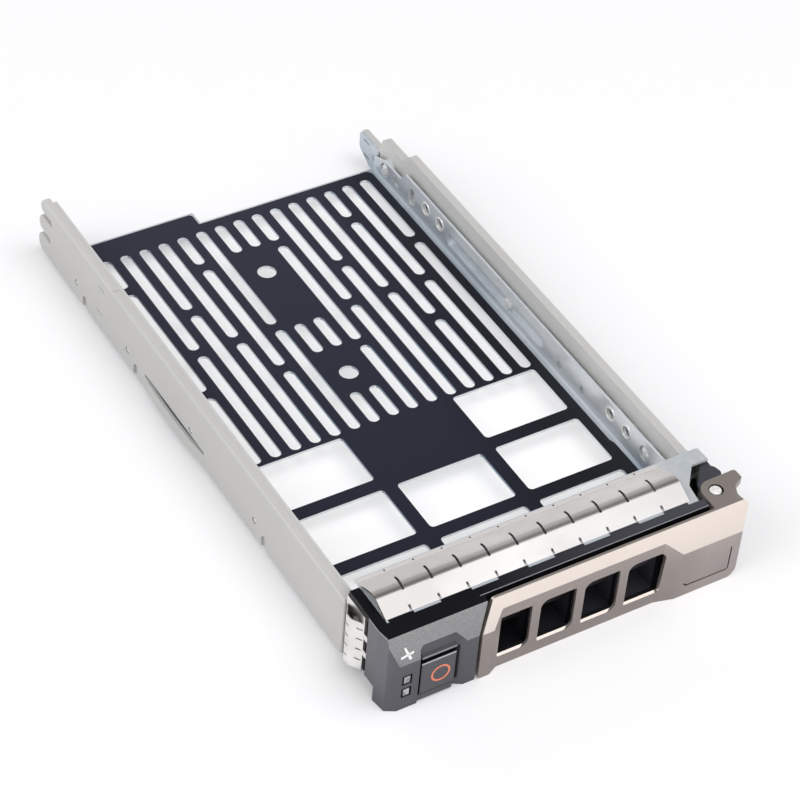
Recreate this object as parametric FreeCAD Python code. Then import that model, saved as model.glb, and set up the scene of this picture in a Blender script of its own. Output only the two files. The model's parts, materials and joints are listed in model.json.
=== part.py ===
import FreeCAD, Part
import math
import os
from FreeCAD import Vector as V

os.makedirs("parts", exist_ok=True)

# Frame: X to the right seen from the front, Y from the bezel towards the rear, Z up.
# The origin is on the drive's centre line, at the foot of the front face. Millimetres.

# Drive bay
drive_width = 101.6
drive_side_gap = 0.2
drive_hole_pitch = 101.6
drive_hole_rise = 6.0
drive_hole_r = 2.1
drive_hole_sets = (57.8, 49.7)

# Sheet metal pan and its insulating film
sheet = 0.8
film_thickness = 0.25
film_top = 7.0
film_gap = 0.6
film_inset_rear = 0.8
bend_inner_r = 1.2
wall_inner = drive_width / 2 + drive_side_gap
wall_outer = wall_inner + sheet
wall_top = 17.0
wall_step_y = 172.6
wall_step_z = 13.6
wall_holes = ((176.8, 10.7, 1.6), (83.9, 10.6, 1.2), (72.0, 10.6, 1.2))
floor_top = film_top - film_thickness
floor_bottom = floor_top - sheet
pan_front = 25.3
pan_rear_right = 190.4
pan_rear_left = 195.6
pan_step_x = -10.0
film_half_width = wall_inner - bend_inner_r - film_gap

# Slots and windows in the floor
slot_columns = 15
slot_pitch = film_half_width / 7.75
slot_width = 3.5
slot_x0 = 0.3
slot_rear = 186.5
slot_front = 90.25
bridge_pitch = 16.6
bridge_first = 171.25
bridge_width = 3.0
window_row_pitch = 23.1
window_row_rear = 89.2
window_length = 18.9
window_last_front = 32.6
window_mid_half = 13.85
window_side_inner = 18.1
window_side_outer = film_half_width - 3.2
window_corner = 1.3

# Rails
rail_gap = 1.4
rail_thickness = 2.5
rail_inner = wall_outer + rail_gap
rail_outer = rail_inner + rail_thickness
rail_foot = 1.4
rail_top = 21.4
rail_front = 23.0
rail_rear = 207.9
finger_notch = 2.2
finger_root_y = 198.6
finger_low = 6.2
finger_mid = 5.2
right_rail_outer = rail_outer + 0.5
right_rail_top = rail_top + 0.4
tail_length = 11.7
tail_front = pan_rear_right + 1.5
tail_rear = tail_front + tail_length
tail_top = 11.9
tail_foot = 2.2
step_top = 17.8
tail_gap = 0.05
bow_front = 99.6
bow_rear = 137.4
bow_foot = 2.4
bow_height = 4.0
bow_leaf = 0.9
bow_rise = 1.0
mark_spots = ((181.5, 7.0), (148.1, 7.2), (108.7, 8.9), (71.1, 7.3))
mark_r = 1.1
relief_ahead = 5.7
relief_r = 1.5
dash_half = 1.9
rivet_spots = ((40.7, 12.4), (112.8, 11.3), (184.2, 10.4))
rivet_shank_r = 1.4
rivet_clearance = 0.05
rivet_head_r = 1.9
rivet_head = 0.8

# Bezel
bezel_height = 26.5
crease_z = 17.0
slope_run = 2.6
handle_thickness = 3.4
cover_front = 0.3
cover_back = 2.7
cover_rear = 11.1
cover_wall = 1.8
cover_right = 27.4 - rail_outer
cover_right_top = cover_right + 2.9
top_plate_z = bezel_height - 2.0
plate_bed_z = bezel_height - 1.0
front_lip_rear = 7.6
body_front = 5.0
body_rear = 22.4
body_side = rail_outer - 0.5
body_right = rail_outer - 9.7
body_foot = 0.3
bulkhead_front = 11.2
bulkhead_rear = 12.5
side_relief_z = 5.3
side_relief_y = 6.6
side_relief_x = 3.1 - rail_outer
screw_x = 32.0
screw_y = 15.0
tab_front = bulkhead_front + 0.1
screw_hole_r = 1.25

# Button, ring, catch and light pipes
button_left = 10.4 - rail_outer
button_right = button_left + 10.5
button_foot = 2.9
button_top = 14.4
button_back = 3.1
button_gap = 0.35
button_x = button_left + 6.0
button_z = 8.45
button_travel = 2.0
flange_front = cover_back + 0.3
flange_back = 4.0
stem_r = 1.5
stem_bore_r = 1.9
spring_r = 2.3
spring_wire_r = 0.25
spring_turns = 6
ring_outer_r = 2.9
ring_inner_r = 2.3
ring_depth = 0.4
ring_clearance = 0.02
pocket_depth = 1.4
pocket_top = bezel_height - 5.5
ridge_foot = button_top + 1.2
ridge_height = 1.3
sill_front = cover_front + 0.3
sill_foot = 0.5
wedge_left = button_left + 8.5
wedge_length = 4.1
wedge_slope = 0.6
wedge_foot = 3.8
wedge_top = 5.2
catch_gap = 0.35
catch_front = flange_back + button_travel + 0.2
catch_depth = 2.8
led_x = 6.2 - rail_outer
led_z = (6.2, 10.9)
led_half_width = 1.45
led_half_height = 1.75
led_frame = 0.4
light_pipe_width = 1.4
light_pipe_rear_z = (18.2, 20.0)
light_pipe_rear = 203.0

# Handle
grip_front = 1.5
grip_back = 2.3
grip_left_ramp = 2.9
grip_right_ramp = 6.0
grip_lean = 1.0
handle_left = cover_right + 0.8
handle_left_top = cover_right_top + 1.7
handle_right = rail_outer - 0.6
handle_right_top = rail_outer + 1.9
grip_left = handle_left + 6.4
grip_right = handle_right - 26.1
rib_pitch = (grip_right - grip_left) / 3.63
rib_half = 1.4
rib_middle = (grip_left + grip_right) / 2 - 0.25
window_z0 = 3.7
window_z1 = 18.9
window_right = grip_right + 1.2
pivot_x = rail_outer - 4.8
pivot_y = 9.0
pivot_r = 1.65
pivot_clearance = 0.05
pin_seat_clearance = 0.02
pin_recess = 0.5
pin_mouth_r = 2.05
pin_mouth_depth = 0.9
lug_r = 4.1
lug_thickness = 2.3
lug_foot_z = bezel_height - lug_thickness
lower_lug_foot = 1.6
barrel_r = 4.6
barrel_foot = 8.0
leg_offset = 2.88
leg_r = 0.28

# Shield bracket
shield_rear = 24.9
shield_foot_rear = 30.6
shield_foot_half = wall_inner - 5.0
shield_rivet_x = (6.0 - shield_foot_half, 0.0, shield_foot_half - 6.0)
shield_rivet_y = 28.2
shield_rivet_r = 1.2
vent_pitch = 7.0
vent_columns = 12
vent_rows = 3
vent_half = 2.2

# Contact strips
strip_thickness = 0.3
strip_left = 3.6 - rail_outer
strip_right = rail_outer - 13.8
strip_pitch = (strip_right - strip_left) / 10.85
strip_slits = 10
strip_front = 8.6
strip_rear = 24.4
strip_rise = 3.1
crest_slit_first = strip_left + 8.4
front_slit_first = strip_left + 7.6
lip_front = 7.75
slit_width = 0.7
dot_r = 0.3
side_bulge = 2.3
side_strip_foot = 4.6
side_strip_top = plate_bed_z - 0.6
side_finger_top = side_strip_top - 2.9
side_slit_pitch = 3.76
side_slits = 4
side_lip_front = 11.3
side_lip_height = 2.0
side_lip_feet = (10.9, 17.0)


def box(x0, x1, y0, y1, z0, z1):
    return Part.makeBox(x1 - x0, y1 - y0, z1 - z0, V(x0, y0, z0))


def cyl(x, y, z, r, length, axis):
    return Part.makeCylinder(r, length, V(x, y, z), axis)


def wire(points, place):
    # Each point is (u, v) or (u, v, corner radius); corners with a radius become arcs.
    ends = []
    n = len(points)
    for i in range(n):
        p = V(points[i][0], points[i][1], 0)
        r = points[i][2] if len(points[i]) > 2 else 0
        if not r:
            ends.append((p, None, p))
            continue
        a = V(points[i - 1][0], points[i - 1][1], 0) - p
        b = V(points[(i + 1) % n][0], points[(i + 1) % n][1], 0) - p
        a.normalize()
        b.normalize()
        half = a.getAngle(b) / 2
        mid = a + b
        mid.normalize()
        centre = p + mid * (r / math.sin(half))
        ends.append((p + a * (r / math.tan(half)), centre - mid * r, p + b * (r / math.tan(half))))
    edges = []
    for i in range(n):
        start, middle, stop = ends[i]
        if middle is not None:
            edges.append(Part.Arc(place(start), place(middle), place(stop)).toShape())
        following = ends[(i + 1) % n][0]
        if stop.distanceToPoint(following) > 1e-6:
            edges.append(Part.makeLine(place(stop), place(following)))
    return Part.Wire(edges)


def wire_xz(points, y):
    return wire(points, lambda p: V(p.x, y, p.y))


def wire_xy(points, z):
    return wire(points, lambda p: V(p.x, p.y, z))


def prism_xy(points, z0, z1):
    return Part.Face(wire_xy(points, z0)).extrude(V(0, 0, z1 - z0))


def prism_yz(points, x0, x1):
    return Part.Face(wire(points, lambda p: V(x0, p.x, p.y))).extrude(V(x1 - x0, 0, 0))


def prism_xz(points, y0, y1):
    return Part.Face(wire_xz(points, y0)).extrude(V(0, y1 - y0, 0))


def rounded(u0, u1, v0, v1, r):
    return [(u0, v0, r), (u1, v0, r), (u1, v1, r), (u0, v1, r)]


def slot_y(x, y0, y1, width, z0, z1):
    r = width / 2 - 0.001
    return prism_xy(rounded(x - width / 2, x + width / 2, y0, y1, r), z0, z1)


def fuse(shapes):
    return shapes[0].multiFuse(shapes[1:]).removeSplitter()


def mirror_x(shape):
    return shape.mirror(V(0, 0, 0), V(1, 0, 0))


def coil(x, y0, y1, z, r, wire_r, turns):
    # A compression spring along Y, drawn as closed rings joined by a side bar.
    pitch = (y1 - y0 - 2 * wire_r) / (turns - 1)
    rings = []
    for i in range(turns):
        rings.append(Part.makeTorus(r, wire_r, V(x, y0 + wire_r + i * pitch, z), Y))
    rings.append(Part.makeCylinder(wire_r * 0.8, y1 - y0 - 2 * wire_r, V(x + r, y0 + wire_r, z), Y))
    return fuse(rings)


def bowed_leaf(x, y0, y1, thickness, bulge, z0, z1):
    # A leaf along Y, straight at both ends and bowed outwards by the bulge.
    middle = (y0 + y1) / 2
    back = Part.Arc(V(x, y1, z0), V(x + bulge, middle, z0), V(x, y0, z0)).toShape()
    front = Part.Arc(V(x + thickness, y0, z0), V(x + thickness + bulge, middle, z0),
                     V(x + thickness, y1, z0)).toShape()
    near = Part.makeLine(V(x, y0, z0), V(x + thickness, y0, z0))
    far = Part.makeLine(V(x + thickness, y1, z0), V(x, y1, z0))
    return Part.Face(Part.Wire([back, near, front, far])).extrude(V(0, 0, z1 - z0))


def save(name, shape):
    shape = shape.removeSplitter() if shape.ShapeType != "Compound" else shape
    solids = shape.Solids
    result = solids[0] if len(solids) == 1 else Part.makeCompound(solids)
    if not result.isValid():
        print("not valid:", name)
    result.exportStep("parts/" + name + ".step")
    print(name, len(solids), round(result.Volume, 1))


X, Y, Z = V(1, 0, 0), V(0, 1, 0), V(0, 0, 1)


def bridge(number):
    return bridge_first - number * bridge_pitch


def floor_openings(z0, z1):
    # Which bridges (0 is the rearmost) break each slot column, counted from the left.
    half = bridge_width / 2
    cuts = []
    for column in range(1, slot_columns + 1):
        x = slot_x0 + (column - 8) * slot_pitch
        if column in (7, 8):
            runs = [(bridge(0) + half, slot_rear), (bridge(3) + half, bridge(2) - half),
                    (slot_front, slot_front + 13.55)]
        else:
            if column in (1, 5, 9, 13):
                breaks = (0, 3)
            elif column in (3, 7, 11, 15):
                breaks = (1,)
            else:
                breaks = (2,)
            stops = [slot_rear]
            for number in breaks:
                stops += [bridge(number) + half, bridge(number) - half]
            stops.append(slot_front)
            runs = [(stops[i + 1], stops[i]) for i in range(0, len(stops), 2)]
        for y0, y1 in runs:
            cuts.append(slot_y(x, y0, y1, slot_width, z0, z1))
    for y in (161.1, 111.7):
        cuts.append(cyl(slot_x0 - slot_pitch / 2, y, z0, 2.9, z1 - z0, Z))
    for row in range(3):
        rear = window_row_rear - row * window_row_pitch
        front = rear - window_length if row < 2 else window_last_front
        spans = [(-window_side_outer, -window_side_inner), (window_side_inner, window_side_outer)]
        if row:
            spans.append((-window_mid_half, window_mid_half))
        for x0, x1 in spans:
            cuts.append(prism_xy(rounded(x0, x1, front, rear, window_corner), z0, z1))
    return cuts


def build_wall(rear):
    # One side wall of the pan, on the right, with its bend, pads, dents and holes.
    inside = wall_inner - 1
    outer_r = bend_inner_r + sheet
    section = [(wall_outer - outer_r - 0.2, floor_bottom), (wall_outer, floor_bottom, outer_r),
               (wall_outer, wall_top), (wall_inner, wall_top),
               (wall_inner, floor_top, bend_inner_r), (wall_outer - outer_r - 0.2, floor_top)]
    wall = prism_xz(section, pan_front, rear)
    top_rear = [(wall_step_y - 2.6, wall_top + 1), (wall_step_y, wall_top, 2.2),
                (wall_step_y + 2.0, wall_step_z, 2.0), (rear - 6.0, wall_step_z, 3.0),
                (rear + 0.01, wall_step_z - 2.4), (rear + 0.01, wall_top + 1)]
    wall = wall.cut(prism_yz(top_rear, inside, wall_outer + 1))
    pads = []
    dents = []
    holes = []
    for y, z in rivet_spots:
        pads.append(cyl(wall_outer - 0.1, y, z, 2.9, rail_gap + 0.1, X))
        dents.append(cyl(wall_inner - 0.1, y, z, 2.3, rail_gap + 0.1, X))
        holes.append(cyl(inside, y, z, rivet_shank_r + rivet_clearance, 4, X))
    pads.append(prism_yz(rounded(92.0, 147.5, 8.4, 14.2, 2.8), wall_outer - 0.1, rail_inner))
    dents.append(prism_yz(rounded(92.7, 146.8, 9.1, 13.5, 2.1), wall_inner - 0.1, wall_inner + rail_gap))
    for y in drive_hole_sets:
        for step in (0, drive_hole_pitch):
            holes.append(cyl(inside, y + step, film_top + drive_hole_rise, drive_hole_r, 3, X))
    holes.append(prism_yz(rounded(165.9, 169.5, 7.8, 14.6, 1.79), inside, wall_outer + 1))
    for y, z, r in wall_holes:
        holes.append(cyl(inside, y, z, r, 3, X))
    wall = wall.multiFuse(pads).cut(Part.makeCompound(dents))
    return wall.cut(Part.makeCompound(holes))


def build_tail():
    # The right wall runs on behind the floor: it steps outwards and lies in the rail's end.
    start = pan_rear_right - 0.1
    joggle = prism_xy([(wall_inner, start), (wall_outer, start), (rail_inner + sheet, tail_front),
                       (rail_inner + sheet, tail_front + 1), (rail_inner, tail_front + 1),
                       (rail_inner, tail_front + 0.4)], floor_top + bend_inner_r, 11.1)
    plate = prism_yz([(tail_front, tail_foot, 1.0), (tail_rear - 7.0, tail_foot, 2.5), (tail_rear - 0.4, 5.9, 2.5),
                      (tail_rear - 0.4, tail_top - 0.2, 1.0), (tail_front, tail_top - 0.2, 0.5)],
                     rail_inner, rail_inner + sheet)
    cuts = []
    for z in (10.4, 4.9):
        cuts.append(prism_yz(rounded(tail_front + 5.0, tail_front + 8.7, z - 0.4, z + 0.4, 0.39),
                             rail_inner - 1, rail_inner + 2))
    cuts.append(cyl(rail_inner - 1, tail_front + 2.6, 7.1, 0.9, 3, X))
    return joggle.fuse(plate).cut(Part.makeCompound(cuts))


def build_pan():
    edge = wall_outer - bend_inner_r - sheet
    floor = prism_xy([(-edge, pan_front), (edge, pan_front), (edge, pan_rear_right),
                      (pan_step_x, pan_rear_right), (pan_step_x, pan_rear_left), (-edge, pan_rear_left)],
                     floor_bottom, floor_top)
    parts = [floor]
    for x in (-screw_x, screw_x):
        parts.append(box(x - 8, x + 8, tab_front, pan_front + 0.1, floor_bottom, floor_top))
    parts += [build_wall(pan_rear_right), mirror_x(build_wall(pan_rear_left)), build_tail()]
    cuts = floor_openings(floor_bottom - 1, floor_top + 1)
    for x in (-screw_x, screw_x):
        cuts.append(cyl(x, screw_y, floor_bottom - 1, screw_hole_r, 4, Z))
    for x in shield_rivet_x:
        cuts.append(cyl(x, shield_rivet_y, floor_bottom - 1, shield_rivet_r + 0.05, 4, Z))
    return fuse(parts).cut(Part.makeCompound(cuts))


def build_film():
    left_rear = pan_rear_left - film_inset_rear
    right_rear = pan_rear_right - film_inset_rear
    front = shield_foot_rear + film_gap
    edge = film_half_width
    outline = [(-edge, front, 1.0), (edge + film_gap, front, 1.0), (edge + film_gap, 52.4), (edge, 54.2),
               (edge, right_rear, 2.2), (pan_step_x - film_inset_rear, right_rear),
               (pan_step_x - film_inset_rear, left_rear, 1.3), (-edge, left_rear)]
    film = prism_xy(outline, floor_top, film_top)
    return film.cut(Part.makeCompound(floor_openings(floor_top - 1, film_top + 1)))


def rivet_bores():
    bores = []
    for y, z in rivet_spots:
        bores.append(cyl(rail_inner - 0.1, y, z, rivet_shank_r + rivet_clearance, 1.9, X))
    return bores


def rail_bar(outline, outer, top):
    # The bar of a rail from its side outline, with its long top edge rounded.
    rail = prism_yz(outline, rail_inner, outer)
    top_edges = [e for e in rail.Edges if abs(e.BoundBox.ZMin - top) < 1e-3
                 and e.BoundBox.YLength > 100 and abs(e.BoundBox.XMax - outer) < 1e-3]
    return rail.makeFillet(0.7, top_edges)


def build_left_rail():
    notch_r = finger_notch / 2 - 0.001
    low_top = rail_foot + finger_low
    mid_foot = low_top + finger_notch
    mid_top = mid_foot + finger_mid
    top_foot = mid_top + finger_notch
    rail = rail_bar([(rail_front, rail_foot), (rail_rear, rail_foot, 3.4), (rail_rear, low_top, 2.2),
                     (finger_root_y + 1.2, low_top, notch_r), (finger_root_y + 1.2, mid_foot, notch_r),
                     (rail_rear - 0.8, mid_foot, 2.2), (rail_rear - 0.8, mid_top, 2.2),
                     (finger_root_y, mid_top, notch_r), (finger_root_y, top_foot, notch_r),
                     (rail_rear - 2.3, top_foot, 1.8), (rail_rear - 2.3, rail_top, 1.8),
                     (rail_front, rail_top, 1.5)], rail_outer, rail_top)
    # Bowed friction spring lanced out of the lower part of the rail.
    bow = bowed_leaf(rail_outer - bow_leaf, bow_front, bow_rear, bow_leaf, bow_rise,
                     bow_foot, bow_foot + bow_height)
    rail = rail.cut(box(rail_inner - 1, rail_outer + 1, bow_front + bow_leaf, bow_rear - bow_leaf,
                        bow_foot, bow_foot + bow_height + 1.0)).fuse(bow)
    skin = rail_outer - 0.8
    cuts = rivet_bores()
    for y, z in mark_spots:
        cuts.append(cyl(skin, y, z, mark_r, 2, X))
        ahead = y - relief_ahead
        if ahead > bow_rear or ahead < bow_front:
            cuts.append(prism_yz([(ahead - relief_r, rail_foot - 1), (ahead + relief_r, rail_foot - 1),
                                  (ahead + relief_r, z - 1.2, relief_r - 0.01),
                                  (ahead - relief_r, z - 1.2, relief_r - 0.01)], skin, rail_outer + 1))
    for y, z in ((164.5, 17.4), (166.1, 7.6)):
        cuts.append(box(skin + 0.5, rail_outer + 1, y - dash_half, y + dash_half, z - 0.2, z + 0.2))
    cuts.append(box(rail_inner - 1, rail_outer + 1, 157.9, 158.1, rail_top - 0.2, rail_top + 1))
    return mirror_x(rail.cut(Part.makeCompound(cuts)))


def build_right_rail():
    rail = rail_bar([(rail_front, rail_foot), (tail_rear - 7.6, rail_foot, 3.0), (tail_rear, 5.6, 3.0),
                     (tail_rear, tail_top, 1.0), (tail_front - 0.3, tail_top, 0.6),
                     (tail_front - 2.3, step_top, 1.0), (tail_front - 14.1, step_top, 1.0),
                     (tail_front - 17.7, right_rail_top, 1.0), (rail_front, right_rail_top, 1.5)],
                    right_rail_outer, right_rail_top)
    cuts = rivet_bores()
    cuts.append(box(rail_inner - 1, rail_inner + sheet + tail_gap, tail_front - 1.2, tail_rear + 1,
                    rail_foot - 1, tail_top + 0.1))
    return rail.cut(Part.makeCompound(cuts))


def build_rivets():
    # The head sits in the wall's round dent and the shank ends blind in the rail.
    seat = wall_inner + rail_gap
    rivets = []
    for y, z in rivet_spots:
        head = cyl(seat - rivet_head, y, z, rivet_head_r, rivet_head, X)
        shank = cyl(seat - 0.05, y, z, rivet_shank_r, 1.65, X)
        rivet = head.fuse(shank).removeSplitter()
        rivets += [rivet, mirror_x(rivet)]
    return Part.makeCompound(rivets)


def slope_cutter(x0, x1, front, run):
    # Removes what lies in front of the bezel's sloping upper face.
    return prism_yz([(front - 5, crease_z), (front, crease_z), (front + run, bezel_height),
                     (front + run, bezel_height + 5), (front - 5, bezel_height + 5)], x0, x1)


def build_cover():
    left = -rail_outer
    shell = prism_xy([(left, cover_rear), (left, 6.4), (left + 0.7, 1.9), (left + 3.6, cover_front),
                      (cover_right_top, cover_front), (cover_right_top, cover_rear)], 0, bezel_height)
    inner = left + cover_wall
    hollow = prism_xy([(inner, cover_back), (0, cover_back), (0, 20), (inner, 20)], -1, top_plate_z - 0.3)
    top_hollow = prism_xy([(left + 0.3, 20), (left + 0.3, 6.5), (left + 0.95, cover_back), (0, cover_back),
                           (0, 20)], top_plate_z - 0.4, bezel_height + 1)
    cover = shell.cut(hollow).cut(top_hollow)
    cover = cover.cut(slope_cutter(left - 5, 0, cover_front, slope_run - cover_front - 0.2))
    cover = cover.cut(prism_xz([(cover_right, -1), (0, -1), (0, 30), (cover_right_top, bezel_height + 0.01),
                                (cover_right_top, bezel_height), (cover_right, crease_z)], -1, 20))
    # The button's pocket: its right side and its upper right corner slant out to the front.
    west = button_left - 0.6
    deep = cover_front + pocket_depth
    floor = [(west, -1), (west, pocket_top - 1.2), (west + 1.0, pocket_top), (button_right - 0.5, pocket_top),
             (button_right + 0.5, pocket_top - 1.2), (button_right + 0.5, -1)]
    mouth = floor[:3] + [(button_right - 0.4, pocket_top), (button_right + 5.3, pocket_top - 6.6),
                         (button_right + 5.3, -1)]
    pocket = Part.makeLoft([wire_xz(mouth, cover_front - pocket_depth), wire_xz(floor, deep)], True, True)
    cuts = [box(button_left - button_gap, button_right + button_gap, -1, 4, button_foot - button_gap, ridge_foot)]
    for z in led_z:
        cuts.append(box(led_x - led_half_width, led_x + led_half_width, -1, 5,
                        z - led_half_height, z + led_half_height))
    cuts.append(box(left - 5, left + cover_wall + 0.9, side_relief_y, 20, -1, side_relief_z))
    # A ridge with a sloping top shades the button, and a sill closes the pocket below it.
    ridge = prism_yz([(0.8, ridge_foot), (deep + 0.5, ridge_foot), (deep + 0.5, ridge_foot + ridge_height),
                      (deep, ridge_foot + ridge_height), (0.8, ridge_foot + 0.6)],
                     button_left + 0.3, button_right + 0.2)
    sill = prism_xy([(west - 0.1, sill_front), (button_right - 0.6, sill_front), (button_right + 0.8, deep + 0.1),
                     (west - 0.1, deep + 0.1)], sill_foot, button_foot - button_gap)
    return fuse([cover.cut(pocket), ridge, sill]).cut(Part.makeCompound(cuts)).removeSplitter()


def build_button():
    cap = box(button_left, button_right, cover_front, button_back, button_foot, button_top)
    front_edges = [e for e in cap.Edges if abs(e.BoundBox.YMax - cover_front) < 1e-3]
    cap = cap.makeChamfer(0.3, front_edges)
    flange = box(button_left - 1.3, button_right + 1.3, flange_front, flange_back, 3.0, 13.0)
    stem = cyl(button_x, flange_back - 0.1, button_z, stem_r, 6.4, Y)
    back = flange_back - 0.1
    wedge = prism_xy([(wedge_left, back), (wedge_left + 3.4, back), (wedge_left + 3.4, back + wedge_length),
                      (wedge_left + wedge_slope * wedge_length, back + wedge_length)], wedge_foot, wedge_top)
    button = fuse([cap, flange, stem, wedge])
    groove = cyl(button_x, cover_front - 1, button_z, ring_outer_r + ring_clearance, 1 + ring_depth, Y)
    groove = groove.cut(cyl(button_x, cover_front - 2, button_z, ring_inner_r - ring_clearance, 5, Y))
    return button.cut(groove)


def build_ring():
    ring = cyl(button_x, cover_front, button_z, ring_outer_r, ring_depth, Y)
    return ring.cut(cyl(button_x, cover_front - 1, button_z, ring_inner_r, 5, Y))


def build_button_spring():
    return coil(button_x, flange_back + 0.05, bulkhead_front - 0.05, button_z, spring_r, spring_wire_r,
                spring_turns)


def build_catch():
    # The follower runs beside the button's wedge; the nose stands beside the handle's tooth.
    face = wedge_left - catch_gap
    near = catch_front
    far = catch_front + catch_depth
    back = flange_back - 0.1
    end = handle_left - 0.9
    bar = box(button_left + 5.3, end, near, far, 2.3, 3.5)
    follower = prism_xy([(button_left + 5.3, near), (face + wedge_slope * (near - back), near),
                         (face + wedge_slope * (far - back), far), (button_left + 5.3, far)], 2.3, wedge_top)
    nose = box(end - 1.7, end, near, near + 1.3, 2.3, 7.6)
    return fuse([bar, follower, nose])


def handle_window_spans():
    ribs = [rib_middle + step * rib_pitch for step in (-1, 0, 1)]
    starts = [grip_left] + [rib + rib_half for rib in ribs]
    ends = [rib - rib_half for rib in ribs] + [window_right]
    return list(zip(starts, ends))


def build_handle():
    section = [(0, 0), (0, crease_z), (slope_run, bezel_height), (handle_thickness, bezel_height),
               (handle_thickness, 0)]
    plate = prism_yz(section, handle_left - 10, handle_right + 10)
    face = prism_xz([(handle_left, 0, 0.8), (handle_left, crease_z), (handle_left_top, bezel_height, 1.2),
                     (handle_right_top, bezel_height, 2.2), (handle_right, crease_z),
                     (handle_right, 0, 3.4)], -1, 5)
    plate = plate.common(face)
    # The grip is set back between two ramps; the right one leans outwards as it rises.
    low, high = -1, bezel_height + 1
    edges = []
    for z in (low, high):
        lean = grip_lean * z / bezel_height
        edges.append(wire_xy([(grip_left - grip_left_ramp, -0.01), (grip_left, grip_front),
                              (grip_right + lean, grip_front), (grip_right + grip_right_ramp + lean, -0.01)], z))
    plate = plate.cut(Part.makeLoft(edges, True, True))
    pocket = box(grip_left - 1.5, window_right + 1.5, grip_back, handle_thickness + 1,
                 window_z0 - 1.6, window_z1 + 1.6)
    plate = plate.cut(pocket)
    west = pivot_x - lug_r
    lug = prism_xy([(west - 0.3, 2.6), (pivot_x + 4.7, 2.6, 0.5), (pivot_x + 4.3, 5.0, 1.5),
                    (pivot_x + 5.7, 8.2, 2.0), (pivot_x + 9.1, 9.8, 0.5), (pivot_x + 9.1, 13.3, 0.8),
                    (pivot_x + 1.0, 13.1), (west, 13.1, 4.0), (west - 0.1, 6.0)], lug_foot_z, bezel_height)
    lower = prism_xy([(west, 3.0), (pivot_x + 3.7, 3.0), (pivot_x + lug_r, 13.1, 4.0), (west, 13.1, 4.0)],
                     lower_lug_foot, lower_lug_foot + lug_thickness)
    tooth_front = catch_front + 2.0
    tongue = box(handle_left + 0.6, handle_left + 2.1, 3.0, tooth_front + 1.5, 3.2, 8.0)
    tooth = box(handle_left - 0.5, handle_left + 0.7, tooth_front, tooth_front + 1.5, 3.2, 8.0)
    handle = fuse([plate, lug, lower, tongue, tooth])
    cuts = [cyl(pivot_x, pivot_y, -1, pivot_r + pivot_clearance, bezel_height + 2, Z)]
    cuts.append(cyl(pivot_x, pivot_y, bezel_height - pin_mouth_depth, pin_mouth_r, 2, Z))
    spans = handle_window_spans()
    for i, (x0, x1) in enumerate(spans):
        top_left = 0.5 if i == 0 else 2.6
        last = i == len(spans) - 1
        x_top = x1 + (0.7 if last else 0)
        cuts.append(prism_xz([(x0, window_z0, 0.5), (x1 - (0.2 if last else 0), window_z0, 1.0 if last else 2.6),
                              (x_top, window_z1, 2.2 if last else 0.5), (x0, window_z1, top_left)], -1, 6))
    g = handle_right
    cuts.append(prism_xz([(g - 17.5, 4.9), (g - 16.5, 3.9), (g - 3.5, 3.9), (g - 3.1, 4.3), (g - 3.1, 12.2),
                          (g - 2.7, 12.2), (g - 2.7, 4.1), (g - 3.3, 3.5), (g - 16.7, 3.5), (g - 17.8, 4.6)],
                         -1, 0.3))
    return handle.cut(Part.makeCompound(cuts))


def build_pin():
    pin = cyl(pivot_x, pivot_y, 1.2, pivot_r, bezel_height - pin_recess - 1.2, Z)
    top_edge = [e for e in pin.Edges if e.BoundBox.ZMin > bezel_height - pin_recess - 0.01]
    return pin.makeChamfer(0.2, top_edge)


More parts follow.
